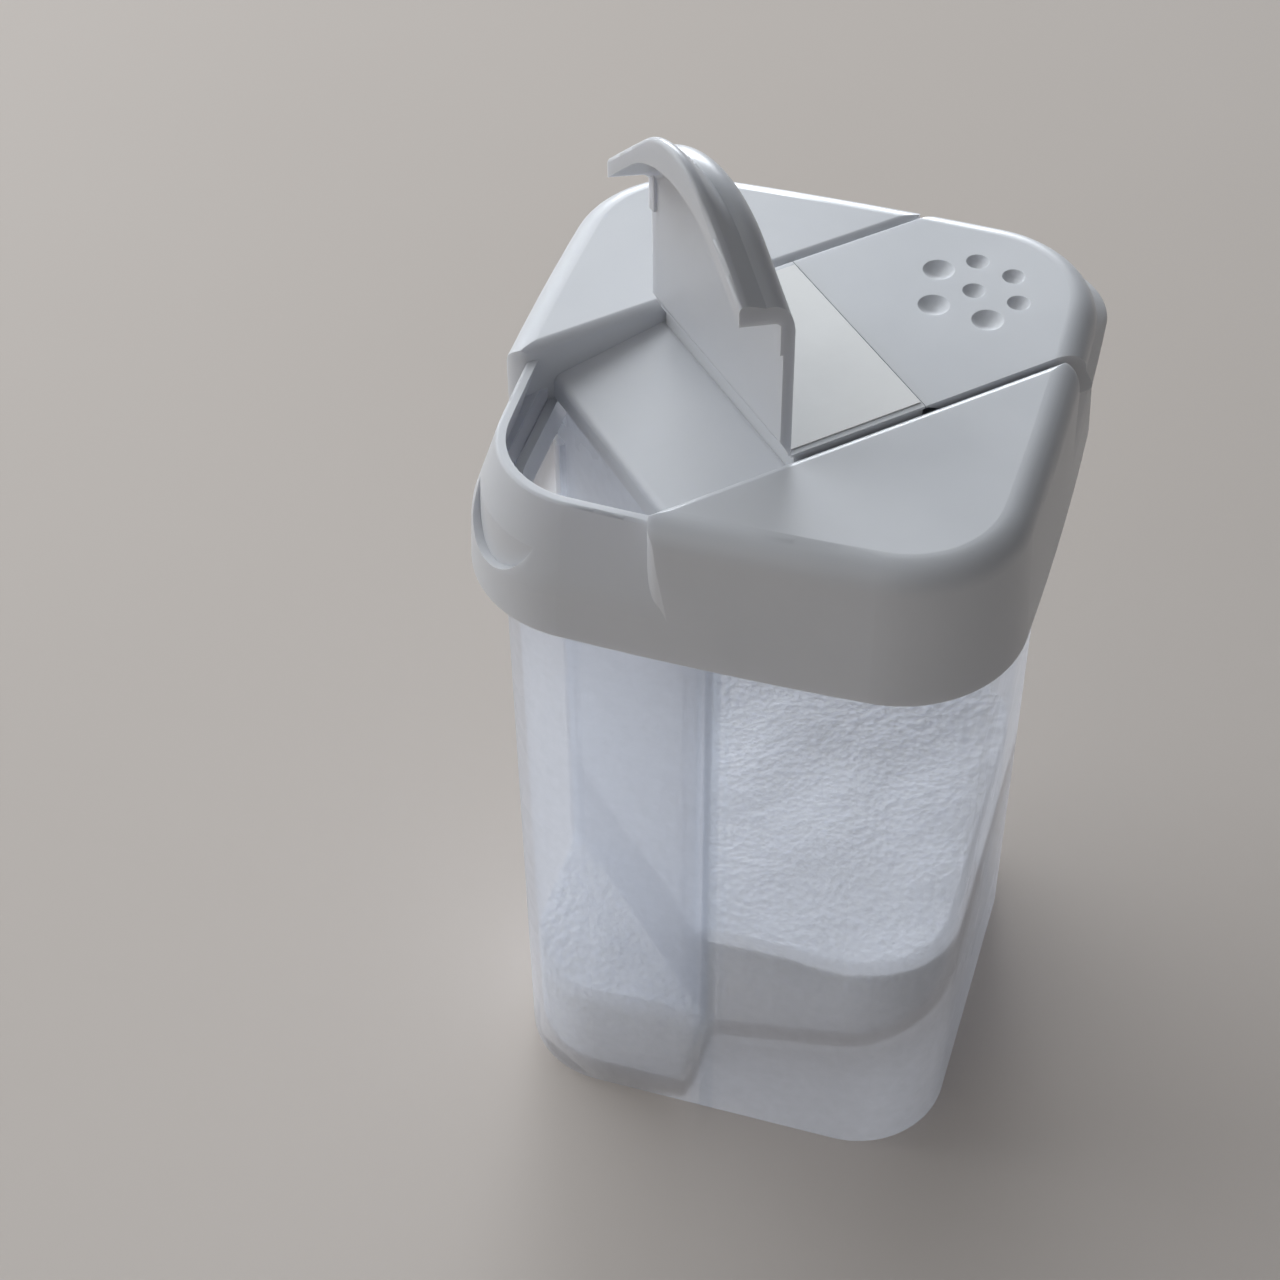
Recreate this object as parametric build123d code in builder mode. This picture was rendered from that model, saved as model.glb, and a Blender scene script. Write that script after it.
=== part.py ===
from build123d import *
import os
from math import atan2, degrees, sqrt

# Measuring dispenser bottle for powder: a square translucent bottle with a measuring well in one corner,
# a partition that slides in front of the well, and a push-on lid. On the lid's diagonal lies a strip
# with two living hinges: a pour flap over the well's corner and a shaker flap over seven holes.
#
# Millimetres, +Z up, origin at the centre of the base, +X to the right along the front face.
# S is the diagonal from the pour corner (-X, -Y) to the shaker corner (+X, +Y), and U lies across it.
# The pour flap stands open, as it does when the bottle is in use.

# Bottle
bottle_base_width = 61.0
bottle_height = 106.0
bottle_corner_radius = 12.9
bottle_flare = 0.4
bottle_wall = 1.4
floor_thickness = 1.5
foot_rounding = 0.6
bead_height = 1.6
bead_reach = 0.6
bead_length = 26.0
bead_below_mouth = 4.4

# Sloped floor and measuring well, seen in the diagonal section
well_floor_z = 2.0
step_top_z = 18.3
step_lean = 0.15
floor_rise = 0.33
step_top_rounding = 2.5
step_foot_rounding = 4.0
floor_rounding = 1.0

# Measuring partition and its guide ribs
well_reach = 15.5
step_behind_partition = 1.8
partition_thickness = 1.2
partition_above_step = 3.7
partition_below_mouth = 5.0
partition_tab_clearance = 0.9
slot_clearance = 0.12
rib_thickness = 0.8
rib_grip = 1.8
rib_below_partition_top = 3.0
rib_stop_height = 1.5

# Lid shell
lid_overhang = 4.1
lid_draw_in = 1.0
lid_height = 20.3
lid_overlap = 11.0
lid_corner_gain = 3.3
side_bow = 1.2
lid_wall = 2.0
lid_edge_rounding = 3.6
shoulder_rounding = 1.2
shoulder_end_rounding = 2.2

# Channel for the strip, with the pour ramp, the pour lip and the shaker seat
channel_width = 32.4
seat_depth = 3.0
seat_thickness = 1.5
ramp_drop = 2.7
ramp_rounding = 1.2
lip_depth = 2.1
lip_set_back = 2.9
lip_wall = 1.2
lip_rounding = 0.5
recess_foot_depth = 14.0
lip_knee_height = 1.8
lip_knee_set_back = 0.15
lip_knee_rounding = 6.0
scoop_radius = 7.2
scoop_depth = 1.1
scoop_below_flap = 0.3

# Inside of the lid
ring_clearance = 0.25
ring_wall = 1.2
ring_depth = 4.5
collar_wall = 0.9
collar_gap = 0.4
collar_drop = 3.4
stop_rib_thickness = 1.2
stop_rib_offset = 14.0
lug_length = 14.0
lug_height = 1.5
lug_clearance = 0.3
lug_rise = 2.0

# Strip: bridge, two flaps and their living hinges
film_thickness = 0.35
film_width = 0.8
hinge_split = 0.1
hinge_bevel = 2.7
hinge_beside_label = 0.2
strip_clearance = 0.5
flap_plate = 1.5
flap_wall = 2.0
flap_rim_inset = 1.15
flap_skirt_depth = 7.3
flap_waist_depth = 3.8
flap_waist_rounding = 1.6
flap_lip_thickness = 1.0
flap_lip_rounding = 0.45
flap_lip_overhang = 0.1
flap_lip_corner_loss = 3.0
flap_rail_start = 15.7
flap_rail_width = 1.2
flap_rail_drop = 0.4
bridge_wall = 1.5
peg_radius = 1.5
peg_clearance = 0.1
peg_spread_s = 9.0
peg_spread_u = 20.0
peg_length = 2.4
pour_flap_opening = 90.0

# Shaker holes, with the plug pins and dimples of the flap above them
shaker_from_corner = 11.8
shaker_ring_radius = 5.85
shaker_small_radius = 1.45
shaker_large_radius = 2.0
small_hole_turns = (-53.0, 0.0, 53.0)
large_hole_turns = (-106.0, 106.0, 180.0)
pin_clearance = 0.45
pin_engagement = 1.0
dimple_depth = 0.8

# Label
label_width = 18.0
label_thickness = 0.15
label_margin = 0.8

# Cuts run this far past what they cut
overrun = 5.0

# Widths that follow from the bottle
bottle_mouth_width = bottle_base_width + 2 * bottle_flare
bead_width = bottle_mouth_width + 2 * bead_reach
mouth_inner_width = bottle_mouth_width - 2 * bottle_wall
mouth_inner_radius = bottle_corner_radius - bottle_wall
lid_width = bottle_mouth_width + 2 * lid_overhang
lid_corner_radius = bottle_corner_radius + lid_corner_gain
flap_lip_width = lid_width + 2 * flap_lip_overhang
flap_lip_corner_radius = bottle_corner_radius - flap_lip_corner_loss
ring_width = mouth_inner_width - 2 * ring_clearance
ring_bore = ring_width - 2 * ring_wall
reach = lid_width

# Heights
lid_rim_z = bottle_height - lid_overlap
lid_top_z = lid_rim_z + lid_height
lid_roof_z = lid_top_z - lid_wall
seat_z = lid_top_z - seat_depth
ramp_low_z = seat_z - ramp_drop
lip_z = lid_top_z - lip_depth
recess_foot_z = lid_top_z - recess_foot_depth
flap_edge_z = lid_top_z - flap_skirt_depth
flap_waist_z = lid_top_z - flap_waist_depth
plate_under_z = lid_top_z - flap_plate
ring_bottom_z = bottle_height - ring_depth
collar_bottom_z = ramp_low_z - collar_drop
partition_bottom_z = step_top_z + partition_above_step
partition_top_z = bottle_height - partition_below_mouth
partition_tab_top_z = ramp_low_z - seat_thickness - partition_tab_clearance
rib_top_z = partition_top_z - rib_below_partition_top
past_mouth_z = bottle_height + overrun
past_lid_z = lid_top_z + overrun

# Places along the diagonal and across it
corner_s = bottle_base_width / sqrt(2) - (sqrt(2) - 1) * bottle_corner_radius
partition_s = well_reach - corner_s
partition_front_s = partition_s - partition_thickness / 2
step_top_s = partition_s + step_behind_partition
pour_edge_s = partition_front_s - collar_gap - collar_wall
shaker_s = corner_s - shaker_from_corner
hinge_s = label_width / 2 + hinge_beside_label
channel_half = channel_width / 2
strip_half = channel_half - strip_clearance
partition_tab_half = ring_bore / sqrt(2) + partition_front_s - partition_tab_clearance

half_turn = 180
quarter_turn = 90
tip_arc_turn = 120
quarters = 4
waist_level = 2
rib_root_share = 0.7
floor_facing_share = 0.05

# Plan view along the strip, the diagonal section in which X is S and Y is height, and the view along S
strip_plan = Plane(origin=(0, 0, 0), x_dir=(1, 1, 0), z_dir=(0, 0, 1))
section = Plane(origin=(0, 0, 0), x_dir=(1, 1, 0), z_dir=(1, -1, 0))
corner_view = Plane(origin=(0, 0, 0), x_dir=(1, -1, 0), z_dir=(-1, -1, 0))

os.makedirs("parts", exist_ok=True)


def bowed_square(width, radius, inset=0):
    """Square outline with bowed sides and rounded corners, drawn in by the inset."""
    side_radius = ((width / 2 - side_bow) ** 2 + side_bow**2) / (2 * side_bow)
    side_centre = side_radius - width / 2
    corner_centre = (sqrt(2 * (side_radius - radius) ** 2 - side_centre**2) - side_centre) / 2
    half_angle = degrees(atan2(corner_centre, corner_centre + side_centre))
    with BuildSketch() as outline:
        with BuildLine():
            for turn in (0, quarter_turn, half_turn, -quarter_turn):
                side_at = Vector(0, side_centre).rotate(Axis.Z, turn)
                corner_at = Vector(corner_centre, -corner_centre).rotate(Axis.Z, turn)
                side_start = turn - quarter_turn - half_angle
                corner_start = turn - quarter_turn + half_angle
                CenterArc(side_at, side_radius - inset, side_start, 2 * half_angle)
                CenterArc(corner_at, radius - inset, corner_start, quarter_turn - 2 * half_angle)
        make_face()
    return outline.sketch


def lid_outline(z, inset):
    """The lid's outline at a height, drawn in by the inset."""
    return bowed_square(lid_width, lid_corner_radius, lid_draw_in * (z - lid_rim_z) / lid_height + inset)


def bottle_outline(z, inset):
    """The bottle's outline at a height, drawn in by the inset."""
    drawn_in = inset - bottle_flare * z / bottle_height
    with BuildSketch() as outline:
        RectangleRounded(bottle_base_width, bottle_base_width, bottle_corner_radius)
        if drawn_in:
            offset(amount=-drawn_in, mode=Mode.REPLACE)
    return outline.sketch


def walled(low_z, low_outline, high_z, high_outline, edge_rounding=0):
    """Solid with straight walls between two outlines, its top edge rounded if asked."""
    with BuildPart() as form:
        with BuildSketch(Plane.XY.offset(low_z)):
            add(low_outline)
        with BuildSketch(Plane.XY.offset(high_z)):
            add(high_outline)
        loft(ruled=True)
        if edge_rounding:
            fillet(form.edges().group_by(Axis.Z)[-1], edge_rounding)
    return form.part


def diagonal_slab(points, half_width):
    """Solid with the given section along the diagonal, spread to both sides of it."""
    with BuildPart() as slab:
        with BuildSketch(section):
            with BuildLine():
                Polyline(*points, close=True)
            make_face()
        extrude(amount=half_width, both=True)
    return slab.part


def boxed(plane, low, high):
    """Box on a plane, from its low corner to its high corner."""
    with BuildPart() as block:
        with BuildSketch(plane.offset(low[2])):
            with BuildLine():
                corners = [(low[0], low[1]), (high[0], low[1]), (high[0], high[1]), (low[0], high[1])]
                Polyline(*corners, close=True)
            make_face()
        extrude(amount=high[2] - low[2])
    return block.part


# Bottle: outer and inner form
bottle_outside = walled(0, bottle_outline(0, 0), bottle_height, bottle_outline(bottle_height, 0))
bottle_inside = walled(
    -overrun,
    bottle_outline(-overrun, bottle_wall),
    past_mouth_z,
    bottle_outline(past_mouth_z, bottle_wall),
)

# Space for the powder: the well, the leaning step and the sloped floor, rounded where they meet the walls
step_foot_s = step_top_s - (step_top_z - well_floor_z) * step_lean
floor_end_z = step_top_z + floor_rise * (reach - step_top_s)
with BuildPart() as powder_space:
    with BuildSketch(section):
        with BuildLine():
            FilletPolyline(
                (-reach, well_floor_z),
                (step_foot_s, well_floor_z),
                (step_top_s, step_top_z),
                (reach, floor_end_z),
                radius=(step_foot_rounding, step_top_rounding),
            )
            Polyline(
                (reach, floor_end_z),
                (reach, past_mouth_z),
                (-reach, past_mouth_z),
                (-reach, well_floor_z),
            )
        make_face()
    extrude(amount=reach, both=True)
    add(bottle_inside, mode=Mode.INTERSECT)
    floor_faces = powder_space.faces().filter_by(lambda face: face.normal_at().Z < -floor_facing_share)
    floor_edges = floor_faces.edges()
    wall_edges = (powder_space.faces() - floor_faces).edges()
    fillet([edge for edge in wall_edges if edge in floor_edges], floor_rounding)

# Hollow under the floor, which leaves the step and the floor as thin as the walls
step_thickness_s = floor_thickness * sqrt(1 + step_lean**2)
floor_thickness_z = floor_thickness * sqrt(1 + floor_rise**2)
apex_ds = (step_thickness_s - step_lean * floor_thickness_z) / (1 - step_lean * floor_rise)
apex_z = step_top_z + floor_rise * apex_ds - floor_thickness_z
hollow_start_s = step_top_s + step_thickness_s - step_lean * (step_top_z + overrun)
base_hollow = diagonal_slab(
    [
        (hollow_start_s, -overrun),
        (step_top_s + apex_ds, apex_z),
        (reach, floor_end_z - floor_thickness_z),
        (reach, -overrun),
    ],
    reach,
)

# Guide ribs: a pair on each wall beside the pour corner, closed below by a stop
wall_u_at_centre = (bottle_base_width / 2 + bottle_flare / 2 - bottle_wall) * sqrt(2)
rib_spacing = (partition_thickness + rib_thickness) / 2 + slot_clearance
with BuildPart() as guide_ribs:
    for rib_s in (partition_s - rib_spacing, partition_s + rib_spacing):
        rib_low_u = wall_u_at_centre + rib_s - rib_grip
        rib_high_u = wall_u_at_centre + rib_s + bottle_wall * rib_root_share
        with BuildSketch(strip_plan.offset(partition_bottom_z - rib_stop_height)):
            for side in (-1, 1):
                with Locations((rib_s, side * (rib_low_u + rib_high_u) / 2)):
                    Rectangle(rib_thickness, rib_high_u - rib_low_u)
        extrude(amount=rib_top_z - partition_bottom_z + rib_stop_height)
    stop_u = wall_u_at_centre + partition_s - rib_grip / 2
    with BuildSketch(strip_plan.offset(partition_bottom_z - rib_stop_height)):
        for side in (-1, 1):
            with Locations((partition_s, side * stop_u)):
                Rectangle(2 * rib_spacing, rib_grip)
    extrude(amount=rib_stop_height)

with BuildPart() as bottle:
    add(bottle_outside)
    fillet(bottle.edges().group_by(Axis.Z)[0], foot_rounding)
    with BuildSketch(Plane.XY.offset(bottle_height - bead_below_mouth)):
        with PolarLocations(bottle_mouth_width / 2, quarters):
            Rectangle(2 * bead_reach, bead_length)
    extrude(amount=bead_height)
    add(powder_space.part, mode=Mode.SUBTRACT)
    add(base_hollow.intersect(bottle_inside), mode=Mode.SUBTRACT)
    add(guide_ribs.part)
bottle.part.label = "bottle"
export_step(bottle.part, "parts/bottle.step")

# Measuring partition: a plate between the ribs, with a tab that rises behind the lid's collar
partition_space = bottle_wall + slot_clearance
partition_room = walled(
    partition_bottom_z,
    bottle_outline(partition_bottom_z, partition_space),
    partition_top_z,
    bottle_outline(partition_top_z, partition_space),
)
partition_tab = boxed(
    strip_plan,
    (partition_front_s, -partition_tab_half, partition_bottom_z),
    (partition_front_s + partition_thickness, partition_tab_half, partition_tab_top_z),
)
with BuildPart() as measuring_partition:
    with BuildSketch(strip_plan.offset(partition_bottom_z)):
        with Locations((partition_s, 0)):
            Rectangle(partition_thickness, reach)
    extrude(amount=partition_top_z - partition_bottom_z)
    add(partition_room, mode=Mode.INTERSECT)
    add(partition_tab)
measuring_partition.part.label = "measuring_partition"
export_step(measuring_partition.part, "parts/measuring_partition.step")

# Lid: outer form
lid_outside = walled(
    lid_rim_z,
    lid_outline(lid_rim_z, 0),
    lid_top_z,
    lid_outline(lid_top_z, 0),
    lid_edge_rounding,
)

# At both ends of the channel the lid's wall leans in to a lip, which the flap's skirt covers
lip_knee_z = recess_foot_z + lip_knee_height
with BuildPart() as lip_form:
    for level_z, set_back in ((recess_foot_z, 0), (lip_knee_z, lip_knee_set_back), (lip_z, lip_set_back)):
        with BuildSketch(Plane.XY.offset(level_z)):
            add(lid_outline(level_z, set_back))
    loft(ruled=True)
    knee_edges = lip_form.edges().filter_by_position(Axis.Z, lip_knee_z - lip_wall, lip_knee_z + lip_wall)
    fillet(knee_edges, lip_knee_rounding)
    fillet(lip_form.edges().group_by(Axis.Z)[-1], lip_rounding)

# Room for the flaps: the channel, widened at its ends to round the shoulders' sharp ends off
shoulder_end_x = sqrt(2) * channel_half - lid_width / 2
shoulder_wall = lid_width / 2 - lid_draw_in / 2 - side_bow * (2 * shoulder_end_x / lid_width) ** 2
shoulder_tip_s = channel_half - sqrt(2) * shoulder_wall
tip_arc_start = (shoulder_tip_s + (1 + sqrt(2)) * shoulder_end_rounding, channel_half)
with BuildPart() as flap_space:
    with BuildSketch(strip_plan.offset(recess_foot_z)):
        with BuildLine():
            tip_arc = JernArc(tip_arc_start, (-1, 0), shoulder_end_rounding, -tip_arc_turn)
            tip_exit = Line(tip_arc @ 1, tip_arc @ 1 + (tip_arc % 1) * overrun)
            Polyline(tip_exit @ 1, (-reach, (tip_exit @ 1).Y), (-reach, channel_half), tip_arc_start)
        make_face()
        mirror(about=Plane.XZ)
        mirror(about=Plane.YZ)
        Rectangle(2 * reach, channel_width)
    extrude(amount=past_lid_z - recess_foot_z)

# Rounding of the shoulders' top edges along the channel
rounding_low_z = lid_top_z - shoulder_rounding
rounding_outer_u = channel_half + shoulder_rounding
with BuildPart() as edge_flare:
    with BuildSketch(corner_view):
        with BuildLine():
            right_edge = RadiusArc(
                (channel_half, rounding_low_z),
                (rounding_outer_u, lid_top_z),
                shoulder_rounding,
            )
            Polyline(
                right_edge @ 1,
                (rounding_outer_u, past_lid_z),
                (0, past_lid_z),
                (0, rounding_low_z),
                right_edge @ 0,
            )
        make_face()
        mirror(about=Plane.YZ)
    extrude(amount=reach, both=True)

# Hollow of the lid, around the block that carries the seat, the ramp and the channel's walls
lid_inside = walled(
    lid_rim_z - overrun,
    lid_outline(lid_rim_z - overrun, lid_wall),
    lid_roof_z,
    lid_outline(lid_roof_z, lid_wall),
    lid_edge_rounding - lid_wall,
)
seat_block = diagonal_slab(
    [
        (-reach, ramp_low_z - seat_thickness),
        (pour_edge_s, ramp_low_z - seat_thickness),
        (-hinge_s, seat_z - seat_thickness),
        (reach, seat_z - seat_thickness),
        (reach, lid_top_z),
        (-reach, lid_top_z),
    ],
    channel_half + lid_wall,
)

# Channel between the lips: pour mouth, ramp with its rounded edge, and seat
lip_core = walled(
    recess_foot_z,
    lid_outline(recess_foot_z, lip_wall),
    lip_z,
    lid_outline(lip_z, lip_set_back + lip_wall),
)
with BuildPart() as channel:
    with BuildSketch(section):
        with BuildLine():
            FilletPolyline(
                (pour_edge_s, collar_bottom_z),
                (pour_edge_s, ramp_low_z),
                (-hinge_s, seat_z),
                radius=ramp_rounding,
            )
            Polyline(
                (-hinge_s, seat_z),
                (reach, seat_z),
                (reach, past_lid_z),
                (-reach, past_lid_z),
                (-reach, collar_bottom_z),
                (pour_edge_s, collar_bottom_z),
            )
        make_face()
    extrude(amount=channel_half, both=True)
    add(lip_core, mode=Mode.INTERSECT)
    add(boxed(strip_plan, (-reach, -channel_half, lip_z), (reach, channel_half, past_lid_z)))

# Finger scoops below both flaps
scoop_floor = walled(
    lid_rim_z,
    lid_outline(lid_rim_z, scoop_depth),
    lid_top_z,
    lid_outline(lid_top_z, scoop_depth),
)
with BuildPart() as scoops:
    with BuildSketch(corner_view):
        with Locations((0, flap_edge_z - scoop_below_flap)):
            Circle(scoop_radius)
    extrude(amount=reach, both=True)
    add(scoop_floor, mode=Mode.SUBTRACT)

# Plug ring that fits inside the bottle's mouth
ring_radius = mouth_inner_radius - ring_clearance
with BuildPart() as plug_ring:
    with BuildSketch(Plane.XY.offset(ring_bottom_z)):
        RectangleRounded(ring_width, ring_width, ring_radius)
        RectangleRounded(ring_bore, ring_bore, ring_radius - ring_wall, mode=Mode.SUBTRACT)
    extrude(amount=lid_roof_z - ring_bottom_z + lid_wall / 2)

# Collar that hangs from the ramp's edge in front of the partition
collar = boxed(
    strip_plan,
    (pour_edge_s, -channel_half, collar_bottom_z),
    (pour_edge_s + collar_wall, channel_half, ramp_low_z),
)

# Stop ribs that rest on the bottle's rim, and snap lugs below its bead
rib_inner = ring_width / 2 - ring_wall / 2
rib_outer = lid_width / 2 - lid_draw_in - lid_wall
with BuildPart() as stop_ribs:
    with BuildSketch(Plane.XY.offset(bottle_height)):
        for side in (-1, 1):
            for offset_along in (0, stop_rib_offset):
                with Locations((side * offset_along, -side * (rib_inner + rib_outer) / 2)):
                    Rectangle(stop_rib_thickness, rib_outer - rib_inner)
                with Locations((side * (rib_inner + rib_outer) / 2, -side * offset_along)):
                    Rectangle(rib_outer - rib_inner, stop_rib_thickness)
    extrude(amount=lid_roof_z - bottle_height + lid_wall / 2)

lug_inner = bead_width / 2 + lug_clearance
lug_outer = lid_width / 2 - lid_wall / 2
with BuildPart() as snap_lugs:
    with BuildSketch(Plane.XY.offset(lid_rim_z + lug_rise)):
        with PolarLocations((lug_inner + lug_outer) / 2, quarters):
            Rectangle(lug_outer - lug_inner, lug_length)
    extrude(amount=lug_height)

# Shaker holes: one in the middle and six round it, with the larger ones towards the hinge
shaker_centre = Vector(shaker_s, 0, 0)
shaker_spoke = Vector(shaker_ring_radius, 0, 0)
small_holes = [shaker_centre + shaker_spoke.rotate(Axis.Z, turn) for turn in small_hole_turns]
small_holes.append(shaker_centre)
large_holes = [shaker_centre + shaker_spoke.rotate(Axis.Z, turn) for turn in large_hole_turns]

with BuildPart() as lid:
    add(lid_outside)
    add(edge_flare.part, mode=Mode.SUBTRACT)
    add(flap_space.part - lip_form.part, mode=Mode.SUBTRACT)
    add(lid_inside - seat_block, mode=Mode.SUBTRACT)
    add((lip_form.part - lip_core).intersect(flap_space.part))
    add(plug_ring.part)
    add(collar)
    add(channel.part, mode=Mode.SUBTRACT)
    add(scoops.part, mode=Mode.SUBTRACT)
    add(stop_ribs.part)
    add(snap_lugs.part)
    with BuildSketch(strip_plan.offset(seat_z)):
        with Locations(small_holes):
            Circle(shaker_small_radius)
        with Locations(large_holes):
            Circle(shaker_large_radius)
        with GridLocations(peg_spread_s, peg_spread_u, 2, 2):
            Circle(peg_radius + peg_clearance)
    extrude(amount=-seat_thickness, mode=Mode.SUBTRACT)
lid.part.label = "lid"
export_step(lid.part, "parts/lid.step")

# Flap blank, closed, on the shaker side: flush with the lid above, flared to a finger lip at its rim
flap_lip_outline = bowed_square(flap_lip_width, flap_lip_corner_radius)
with BuildPart() as flap_outside:
    for lip_edge_z in (flap_edge_z, flap_edge_z + flap_lip_thickness):
        with BuildSketch(Plane.XY.offset(lip_edge_z)):
            add(flap_lip_outline)
    for wall_z in (flap_waist_z, lid_top_z):
        with BuildSketch(Plane.XY.offset(wall_z)):
            add(lid_outline(wall_z, 0))
    loft(ruled=True)
    level_edges = flap_outside.edges().filter_by(GeomType.LINE, reverse=True).group_by(Axis.Z)
    fillet(level_edges[waist_level], flap_waist_rounding)
    fillet(flap_outside.edges().group_by(Axis.Z)[-1], lid_edge_rounding)
    fillet(flap_outside.edges().group_by(Axis.Z)[0], flap_lip_rounding)

# Room inside the skirt, which widens towards the rim to pass over the lip
flap_inside = walled(
    flap_edge_z,
    lid_outline(flap_edge_z, flap_rim_inset),
    plate_under_z,
    lid_outline(plate_under_z, flap_wall),
    lid_edge_rounding - flap_wall,
)
flap_room = boxed(
    strip_plan,
    (hinge_s + hinge_split / 2, -strip_half, flap_edge_z),
    (reach, strip_half, lid_top_z),
)
hinge_relief = diagonal_slab(
    [
        (hinge_s, plate_under_z - overrun),
        (hinge_s, lid_top_z - film_thickness),
        (hinge_s + film_width / 2, lid_top_z - film_thickness),
        (hinge_s + hinge_bevel, plate_under_z),
        (hinge_s + hinge_bevel, plate_under_z - overrun),
    ],
    reach,
)
with BuildPart() as flap_rails:
    for side in (-1, 1):
        add(
            boxed(
                strip_plan,
                (hinge_s + flap_rail_start, side * strip_half, plate_under_z - flap_rail_drop),
                (reach, side * (strip_half - flap_rail_width), plate_under_z),
            )
        )
    add(flap_outside.part, mode=Mode.INTERSECT)
with BuildPart() as flap_blank:
    add(flap_outside.part)
    add(flap_inside, mode=Mode.SUBTRACT)
    add(flap_rails.part)
    add(flap_room, mode=Mode.INTERSECT)
    add(hinge_relief, mode=Mode.SUBTRACT)

# Shaker flap, closed, with a pin below and a dimple above for each hole
pin_length = plate_under_z - seat_z + pin_engagement
with BuildPart() as shaker_flap:
    add(flap_blank.part)
    with BuildSketch(strip_plan.offset(plate_under_z)):
        with Locations(small_holes):
            Circle(shaker_small_radius - pin_clearance)
        with Locations(large_holes):
            Circle(shaker_large_radius - pin_clearance)
    extrude(amount=-pin_length)
    for holes, dimple_radius in ((small_holes, shaker_small_radius), (large_holes, shaker_large_radius)):
        ball_radius = (dimple_radius**2 + dimple_depth**2) / (2 * dimple_depth)
        ball_z = lid_top_z - dimple_depth + ball_radius
        with Locations(*[strip_plan.from_local_coords(hole + Vector(0, 0, ball_z)) for hole in holes]):
            Sphere(ball_radius, mode=Mode.SUBTRACT)
shaker_flap.part.label = "shaker_flap"
export_step(shaker_flap.part, "parts/shaker_flap.step")

# Pour flap, standing open on its hinge line
pour_hinge = Axis(section.from_local_coords((-hinge_s, lid_top_z)), section.z_dir)
with BuildPart() as pour_flap:
    add(flap_blank.part.rotate(Axis.Z, half_turn).rotate(pour_hinge, -pour_flap_opening))
pour_flap.part.label = "pour_flap"
export_step(pour_flap.part, "parts/pour_flap.step")

# Bridge between the hinges: a cored plate with four pegs
bridge_half = hinge_s - film_width / 2
with BuildPart() as flap_bridge:
    with BuildSketch(strip_plan.offset(seat_z)):
        Rectangle(2 * bridge_half, 2 * strip_half)
    extrude(amount=seat_depth)
    with BuildSketch(strip_plan.offset(seat_z)):
        Rectangle(2 * (bridge_half - bridge_wall), 2 * (strip_half - bridge_wall))
    extrude(amount=seat_depth - flap_plate, mode=Mode.SUBTRACT)
    with BuildSketch(strip_plan.offset(lid_top_z)):
        Rectangle(2 * hinge_s - hinge_split, 2 * strip_half)
    extrude(amount=-film_thickness)
    with BuildSketch(strip_plan.offset(plate_under_z)):
        with GridLocations(peg_spread_s, peg_spread_u, 2, 2):
            Circle(peg_radius)
    extrude(amount=-(plate_under_z - seat_z + peg_length))
flap_bridge.part.label = "flap_bridge"
export_step(flap_bridge.part, "parts/flap_bridge.step")

# Label on the bridge
with BuildPart() as label:
    with BuildSketch(strip_plan.offset(lid_top_z)):
        Rectangle(label_width, 2 * (strip_half - label_margin))
    extrude(amount=label_thickness)
label.part.label = "label"
export_step(label.part, "parts/label.step")
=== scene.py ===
import math

import bpy
from mathutils import Matrix, Vector, noise


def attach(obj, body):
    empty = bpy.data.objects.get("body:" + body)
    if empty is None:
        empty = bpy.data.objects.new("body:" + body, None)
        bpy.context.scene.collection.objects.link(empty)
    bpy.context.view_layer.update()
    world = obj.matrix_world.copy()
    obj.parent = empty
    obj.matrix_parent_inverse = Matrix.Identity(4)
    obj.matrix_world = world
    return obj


MM = 0.001
ROOT_HALF = math.sqrt(0.5)

# Stretch of a texture's values that is spread over colours and numbers
TONE_LOW, TONE_HIGH = 0.3, 0.7

# Tints of the clear plastic across the guide ribs, as shares of a band about the partition.
# Distances are in mm: s runs along the diagonal from the pour corner to the shaker corner, u across it.
PARTITION_S, RIB_BAND = -22.29, 2.4
CLEAR = (0.968, 0.976, 1.0, 1.0)
RIB_EDGE = (0.80, 0.84, 0.89, 1.0)
RIB_CORE = (0.60, 0.65, 0.72, 1.0)
RIB_TINTS = (
    (0.16, CLEAR),
    (0.22, RIB_EDGE),
    (0.32, CLEAR),
    (0.38, RIB_CORE),
    (0.62, RIB_CORE),
    (0.68, CLEAR),
    (0.78, RIB_EDGE),
    (0.84, CLEAR),
)

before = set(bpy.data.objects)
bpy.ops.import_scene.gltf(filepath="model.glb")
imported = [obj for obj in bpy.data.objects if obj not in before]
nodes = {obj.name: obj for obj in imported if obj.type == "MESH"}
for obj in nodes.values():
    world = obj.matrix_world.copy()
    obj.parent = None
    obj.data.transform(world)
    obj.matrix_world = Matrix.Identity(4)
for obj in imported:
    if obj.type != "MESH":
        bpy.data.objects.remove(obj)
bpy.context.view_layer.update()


# Node materials

def new_material(name):
    material = bpy.data.materials.new(name)
    material.use_nodes = True
    tree = material.node_tree
    return material, tree, tree.nodes["Principled BSDF"]


def object_noise(tree, scale, detail=4.0):
    """Noise in the object's own metres, so that it stays on the surface."""
    place = tree.nodes.new("ShaderNodeTexCoord")
    texture = tree.nodes.new("ShaderNodeTexNoise")
    texture.inputs["Scale"].default_value = scale
    texture.inputs["Detail"].default_value = detail
    texture.inputs["Roughness"].default_value = 0.55
    tree.links.new(place.outputs["Object"], texture.inputs["Vector"])
    return texture


def ramp(tree, source, low, high):
    """Colours from low to high along a texture's value."""
    made = tree.nodes.new("ShaderNodeValToRGB")
    for element, colour, at in zip(made.color_ramp.elements, (low, high), (TONE_LOW, TONE_HIGH)):
        element.color = colour
        element.position = at
    tree.links.new(source, made.inputs["Fac"])
    return made.outputs["Color"]


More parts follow.
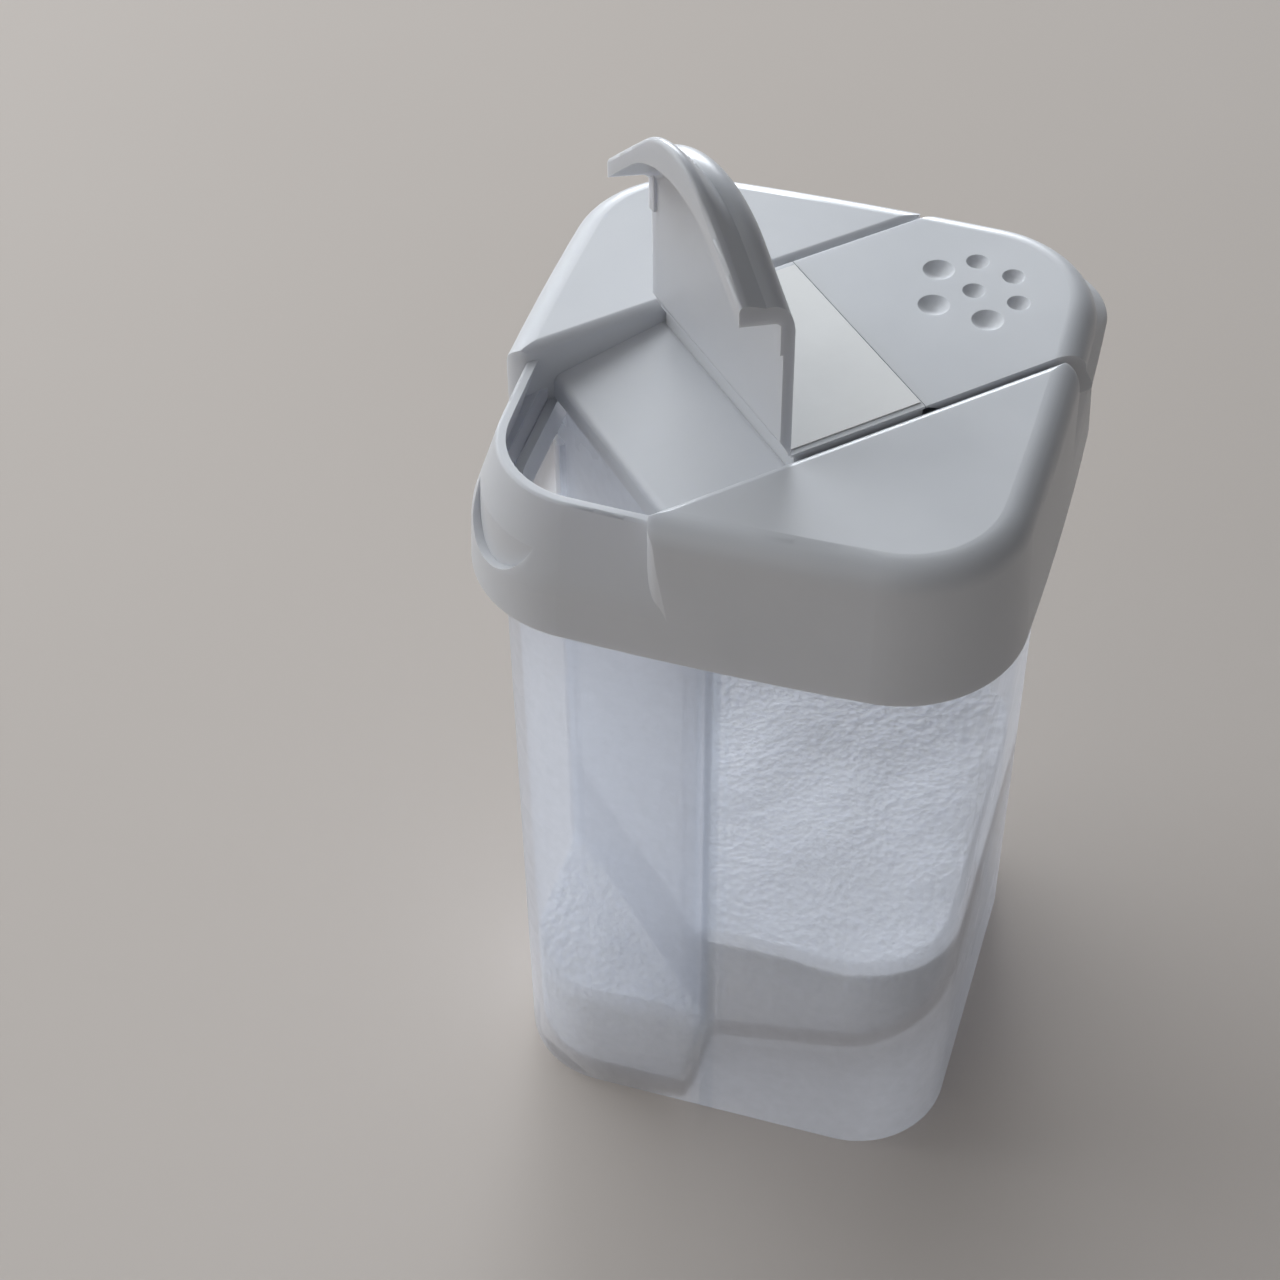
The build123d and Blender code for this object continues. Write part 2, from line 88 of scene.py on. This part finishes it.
def spread(tree, source, low, high):
    """A texture's value, spread between two numbers."""
    made = tree.nodes.new("ShaderNodeMapRange")
    made.inputs["From Min"].default_value = TONE_LOW
    made.inputs["From Max"].default_value = TONE_HIGH
    made.inputs["To Min"].default_value = low
    made.inputs["To Max"].default_value = high
    tree.links.new(source, made.inputs["Value"])
    return made.outputs["Result"]


def bumped(tree, shader, source, strength, distance):
    """A shader's normal, roughened by a texture."""
    made = tree.nodes.new("ShaderNodeBump")
    made.inputs["Strength"].default_value = strength
    made.inputs["Distance"].default_value = distance
    tree.links.new(source, made.inputs["Height"])
    tree.links.new(made.outputs["Normal"], shader.inputs["Normal"])


def mixed(tree, share, first, second):
    """Two shaders blended by a share of the second."""
    made = tree.nodes.new("ShaderNodeMixShader")
    tree.links.new(share, made.inputs["Fac"])
    tree.links.new(first.outputs[0], made.inputs[1])
    tree.links.new(second.outputs[0], made.inputs[2])
    return made


def white_plastic():
    """Moulded polypropylene with a satin skin."""
    material, tree, shader = new_material("white_plastic")
    tone = object_noise(tree, 60.0)
    tree.links.new(
        ramp(tree, tone.outputs["Fac"], (0.615, 0.63, 0.66, 1.0), (0.645, 0.657, 0.685, 1.0)),
        shader.inputs["Base Color"],
    )
    skin = object_noise(tree, 2200.0, detail=2.0)
    tree.links.new(spread(tree, tone.outputs["Fac"], 0.30, 0.40), shader.inputs["Roughness"])
    bumped(tree, shader, skin.outputs["Fac"], 0.05, 0.00006)
    shader.inputs["IOR"].default_value = 1.49
    shader.inputs["Subsurface Weight"].default_value = 0.3
    shader.inputs["Subsurface Radius"].default_value = (0.0018, 0.0018, 0.002)
    shader.inputs["Subsurface Scale"].default_value = 1.0
    return material


def rib_tint(tree):
    """Clear plastic, dimmer where the ribs hold the partition and the plastic is thick."""
    place = tree.nodes.new("ShaderNodeTexCoord")
    turned = tree.nodes.new("ShaderNodeVectorRotate")
    turned.rotation_type = "Z_AXIS"
    turned.inputs["Angle"].default_value = -math.pi / 4
    tree.links.new(place.outputs["Object"], turned.inputs["Vector"])
    along = tree.nodes.new("ShaderNodeSeparateXYZ")
    tree.links.new(turned.outputs["Vector"], along.inputs["Vector"])
    band = tree.nodes.new("ShaderNodeMapRange")
    band.inputs["From Min"].default_value = (PARTITION_S - RIB_BAND) * MM
    band.inputs["From Max"].default_value = (PARTITION_S + RIB_BAND) * MM
    tree.links.new(along.outputs["X"], band.inputs["Value"])
    tint = tree.nodes.new("ShaderNodeValToRGB")
    tint.color_ramp.interpolation = "EASE"
    stops = tint.color_ramp.elements
    stops[0].position, stops[0].color = 0.0, CLEAR
    stops[1].position, stops[1].color = 1.0, CLEAR
    for at, colour in RIB_TINTS:
        stop = stops.new(at)
        stop.color = colour
    tree.links.new(band.outputs["Result"], tint.inputs["Fac"])
    return tint.outputs["Color"]


def translucent_plastic(name, clear_share, milk_share):
    """Natural polypropylene: a clear share, a milky share that light scatters through, and a satin skin.

    Light is scattered where it enters the wall and leaves it unchanged.
    """
    material, tree, shader = new_material(name)
    tone = object_noise(tree, 45.0)
    tree.links.new(
        ramp(tree, tone.outputs["Fac"], (0.90, 0.93, 0.98, 1.0), (0.93, 0.955, 0.99, 1.0)),
        shader.inputs["Base Color"],
    )
    skin = object_noise(tree, 500.0, detail=3.0)
    tree.links.new(spread(tree, tone.outputs["Fac"], 0.24, 0.32), shader.inputs["Roughness"])
    bumped(tree, shader, skin.outputs["Fac"], 0.06, 0.0001)
    milk = tree.nodes.new("ShaderNodeBsdfTranslucent")
    milk.inputs["Color"].default_value = (0.92, 0.945, 1.0, 1.0)
    milkiness = spread(tree, tone.outputs["Fac"], milk_share - 0.03, milk_share + 0.03)
    body = mixed(tree, milkiness, shader, milk)
    clear = tree.nodes.new("ShaderNodeBsdfTransparent")
    tree.links.new(rib_tint(tree), clear.inputs["Color"])
    clearness = spread(tree, skin.outputs["Fac"], clear_share - 0.02, clear_share + 0.02)
    wall = mixed(tree, clearness, body, clear)
    gloss = tree.nodes.new("ShaderNodeBsdfGlossy")
    gloss.inputs["Roughness"].default_value = 0.22
    rim = tree.nodes.new("ShaderNodeLayerWeight")
    rim.inputs["Blend"].default_value = 0.25
    sheen = tree.nodes.new("ShaderNodeMapRange")
    sheen.inputs["To Min"].default_value = 0.02
    sheen.inputs["To Max"].default_value = 0.25
    tree.links.new(rim.outputs["Facing"], sheen.inputs["Value"])
    faced = mixed(tree, sheen.outputs["Result"], wall, gloss)
    side = tree.nodes.new("ShaderNodeNewGeometry")
    leaving = tree.nodes.new("ShaderNodeBsdfTransparent")
    whole = mixed(tree, side.outputs["Backfacing"], faced, leaving)
    tree.links.new(whole.outputs[0], tree.nodes["Material Output"].inputs["Surface"])
    return material


def label_paper():
    """Coated label tape, left bare."""
    material, tree, shader = new_material("label_paper")
    tone = object_noise(tree, 120.0)
    tree.links.new(
        ramp(tree, tone.outputs["Fac"], (0.80, 0.80, 0.79, 1.0), (0.84, 0.84, 0.83, 1.0)),
        shader.inputs["Base Color"],
    )
    fibre = object_noise(tree, 3000.0, detail=2.0)
    tree.links.new(spread(tree, fibre.outputs["Fac"], 0.50, 0.60), shader.inputs["Roughness"])
    bumped(tree, shader, fibre.outputs["Fac"], 0.04, 0.00005)
    return material


def white_powder():
    """Fine white crystals."""
    material, tree, shader = new_material("white_powder")
    place = tree.nodes.new("ShaderNodeTexCoord")
    grain = tree.nodes.new("ShaderNodeTexVoronoi")
    grain.inputs["Scale"].default_value = 1050.0
    tree.links.new(place.outputs["Object"], grain.inputs["Vector"])
    tree.links.new(
        ramp(tree, grain.outputs["Distance"], (0.955, 0.967, 0.99, 1.0), (0.885, 0.91, 0.96, 1.0)),
        shader.inputs["Base Color"],
    )
    bumped(tree, shader, grain.outputs["Distance"], 0.45, 0.0009)
    shader.inputs["Roughness"].default_value = 0.6
    shader.inputs["Subsurface Weight"].default_value = 0.25
    shader.inputs["Subsurface Radius"].default_value = (0.001, 0.001, 0.0012)
    shader.inputs["Subsurface Scale"].default_value = 1.0
    return material


def pale_floor():
    """A plain matt table."""
    material, tree, shader = new_material("pale_floor")
    tone = object_noise(tree, 3.0)
    tree.links.new(
        ramp(tree, tone.outputs["Fac"], (0.56, 0.51, 0.47, 1.0), (0.59, 0.54, 0.50, 1.0)),
        shader.inputs["Base Color"],
    )
    shader.inputs["Roughness"].default_value = 0.9
    shader.inputs["Specular IOR Level"].default_value = 0.0
    return material


white = white_plastic()
translucent = translucent_plastic("translucent_plastic", 0.44, 0.78)
milky = translucent_plastic("milky_plastic", 0.12, 0.66)
paper = label_paper()
powder_finish = white_powder()

finishes = {
    "bottle": translucent,
    "measuring_partition": milky,
    "lid": white,
    "flap_bridge": white,
    "pour_flap": white,
    "shaker_flap": white,
    "label": paper,
}
for name, material in finishes.items():
    nodes[name].data.materials.clear()
    nodes[name].data.materials.append(material)


# Powder in the bottle and in its measuring well, in mm until it becomes a mesh

BOTTLE_HALF = 28.98
BOTTLE_RADIUS = 11.4
WELL_FLOOR_Z = 2.15
STEP_TOP_S = -20.65
STEP_TOP_Z = 18.45
STEP_LEAN = 0.15
FLOOR_RISE = 0.33
FLOOR_ROUNDING = 1.2
PARTITION_BACK_S = -21.55
CHAMBER_LEVEL = 38.7
WELL_LEVEL = 19.8
TIP_INSET = 0.3
LEVEL_CHANGE_RUN = 0.05
LEAST_DEPTH = 0.05

WELL_ROWS, CHAMBER_ROWS, COLUMNS = 24, 110, 90
EVEN_SHARE = 0.65
HALVINGS = 40
LUMP_HEIGHT, LUMP_RATE = 0.9, 0.11
GRAIN_HEIGHT, GRAIN_RATE = 0.28, 0.8


def diagonal_point(s, u, z):
    return Vector(((s + u) * ROOT_HALF, (s - u) * ROOT_HALF, z)) * MM


def wall_distance(s, u):
    """How far a point lies inside the bottle's rounded square."""
    x = abs(s + u) * ROOT_HALF - (BOTTLE_HALF - BOTTLE_RADIUS)
    y = abs(s - u) * ROOT_HALF - (BOTTLE_HALF - BOTTLE_RADIUS)
    outside = math.hypot(max(x, 0.0), max(y, 0.0))
    return BOTTLE_RADIUS - outside - min(max(x, y), 0.0)


def half_span(s):
    """Half the bottle's width across the diagonal, found by halving."""
    low, high = 0.0, 2 * BOTTLE_HALF
    for _ in range(HALVINGS):
        middle = (low + high) / 2
        if wall_distance(s, middle) > 0:
            low = middle
        else:
            high = middle
    return low


def floor_height(s, inside):
    """The bottle's floor: well, leaning step and rising main floor, rounded into the walls."""
    step_foot_s = STEP_TOP_S - (STEP_TOP_Z - WELL_FLOOR_Z) * STEP_LEAN
    if s < step_foot_s:
        height = WELL_FLOOR_Z
    elif s < STEP_TOP_S:
        height = WELL_FLOOR_Z + (s - step_foot_s) / STEP_LEAN
    else:
        height = STEP_TOP_Z + (s - STEP_TOP_S) * FLOOR_RISE
    short = max(0.0, 1.0 - inside / FLOOR_ROUNDING)
    return height + FLOOR_ROUNDING * (1.0 - math.sqrt(max(0.0, 1.0 - short * short)))


def powder_height(s, u, level):
    lumps = noise.noise(Vector((s * LUMP_RATE, u * LUMP_RATE, level))) * LUMP_HEIGHT
    grains = noise.noise(Vector((s * GRAIN_RATE, u * GRAIN_RATE, level))) * GRAIN_HEIGHT
    return level + lumps + grains


def powder_mesh():
    """Rows across the diagonal, each with a floor line and a top line, closed at the sides and ends."""
    tip = BOTTLE_HALF / ROOT_HALF - (1 / ROOT_HALF - 1) * BOTTLE_RADIUS - TIP_INSET
    chamber_start = PARTITION_BACK_S + LEVEL_CHANGE_RUN
    well_rows = [
        -tip + (tip + PARTITION_BACK_S) * (i / WELL_ROWS) ** 1.6
        for i in range(WELL_ROWS + 1)
    ]
    chamber_rows = [
        chamber_start + (tip - chamber_start) * (1 - (1 - i / CHAMBER_ROWS) ** 1.5)
        for i in range(CHAMBER_ROWS + 1)
    ]
    rows = [(s, WELL_LEVEL) for s in well_rows] + [(s, CHAMBER_LEVEL) for s in chamber_rows]
    verts, faces = [], []
    for s, level in rows:
        span = half_span(s)
        for top in (False, True):
            for j in range(COLUMNS + 1):
                crowded = math.sin((j / COLUMNS - 0.5) * math.pi)
                u = span * ((1 - EVEN_SHARE) * crowded + EVEN_SHARE * (2 * j / COLUMNS - 1))
                low = floor_height(s, wall_distance(s, u))
                high = powder_height(s, u, level)
                z = max(high, low + LEAST_DEPTH) if top else low
                verts.append(diagonal_point(s, u, z))
    width = COLUMNS + 1
    for i in range(len(rows) - 1):
        for j in range(COLUMNS):
            a = i * 2 * width + j
            b = a + 2 * width
            faces.append((a, b, b + 1, a + 1))
            faces.append((a + width, a + width + 1, b + width + 1, b + width))
        for j, flip in ((0, True), (COLUMNS, False)):
            a = i * 2 * width + j
            b = a + 2 * width
            side = (a, b, b + width, a + width)
            faces.append(tuple(reversed(side)) if flip else side)
    for i, flip in ((0, False), (len(rows) - 1, True)):
        for j in range(COLUMNS):
            a = i * 2 * width + j
            end = (a, a + 1, a + 1 + width, a + width)
            faces.append(tuple(reversed(end)) if flip else end)
    mesh = bpy.data.meshes.new("powder_fill")
    mesh.from_pydata([tuple(v) for v in verts], [], faces)
    mesh.validate()
    mesh.shade_smooth()
    return mesh


powder = bpy.data.objects.new("powder_fill", powder_mesh())
bpy.context.scene.collection.objects.link(powder)
powder.data.materials.append(powder_finish)
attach(powder, "bottle")


# Floor, light and camera

FLOOR_HALF = 3.0
floor_mesh = bpy.data.meshes.new("floor")
floor_mesh.from_pydata(
    [
        (-FLOOR_HALF, -FLOOR_HALF, 0),
        (FLOOR_HALF, -FLOOR_HALF, 0),
        (FLOOR_HALF, FLOOR_HALF, 0),
        (-FLOOR_HALF, FLOOR_HALF, 0),
    ],
    [],
    [(0, 1, 2, 3)],
)
floor = bpy.data.objects.new("floor", floor_mesh)
bpy.context.scene.collection.objects.link(floor)
floor.data.materials.append(pale_floor())

world = bpy.data.worlds.new("soft_world")
bpy.context.scene.world = world
world.use_nodes = True
background = world.node_tree.nodes["Background"]
background.inputs["Color"].default_value = (0.95, 0.97, 1.0, 1.0)
background.inputs["Strength"].default_value = 0.14


def area_light(name, place, aim, size, power, colour, beam=180.0):
    lamp = bpy.data.lights.new(name, "AREA")
    lamp.shape = "RECTANGLE"
    lamp.size, lamp.size_y = size
    lamp.energy = power
    lamp.color = colour
    lamp.spread = math.radians(beam)
    held = bpy.data.objects.new(name, lamp)
    held.location = place
    held.rotation_euler = (Vector(aim) - Vector(place)).to_track_quat("-Z", "Y").to_euler()
    bpy.context.scene.collection.objects.link(held)


area_light("window", (-0.80, 0.42, 0.70), (0.0, 0.0, 0.08), (1.8, 1.2), 14.6, (0.93, 0.97, 1.0))
area_light("back", (-0.50, 2.10, 0.54), (0.0, 0.0, 0.06), (1.2, 0.6), 2.2, (0.90, 0.945, 1.0), 40.0)
area_light("room", (-0.55, -0.90, 0.55), (0.0, 0.0, 0.06), (1.0, 1.0), 2.2, (1.0, 0.97, 0.94))

# Camera angles and place, fitted to the photo's straight edges
YAW, PITCH, ROLL = 0.3093, 0.7961, 0.0129
CAMERA_PLACE = (0.06154, -0.25428, 0.33302)
forward = Vector((
    -math.sin(YAW) * math.cos(PITCH),
    math.cos(YAW) * math.cos(PITCH),
    -math.sin(PITCH),
))
level_right = Vector((math.cos(YAW), math.sin(YAW), 0.0))
level_down = forward.cross(level_right)
right = math.cos(ROLL) * level_right + math.sin(ROLL) * level_down
down = -math.sin(ROLL) * level_right + math.cos(ROLL) * level_down
camera_data = bpy.data.cameras.new("camera")
camera_data.sensor_width = 36.0
camera_data.lens = 78.75
camera_data.clip_start = 0.01
camera = bpy.data.objects.new("camera", camera_data)
turn = Matrix((right, -down, -forward)).transposed().to_4x4()
camera.matrix_world = Matrix.Translation(CAMERA_PLACE) @ turn
bpy.context.scene.collection.objects.link(camera)
bpy.context.scene.camera = camera

bpy.context.scene.view_settings.view_transform = "Standard"
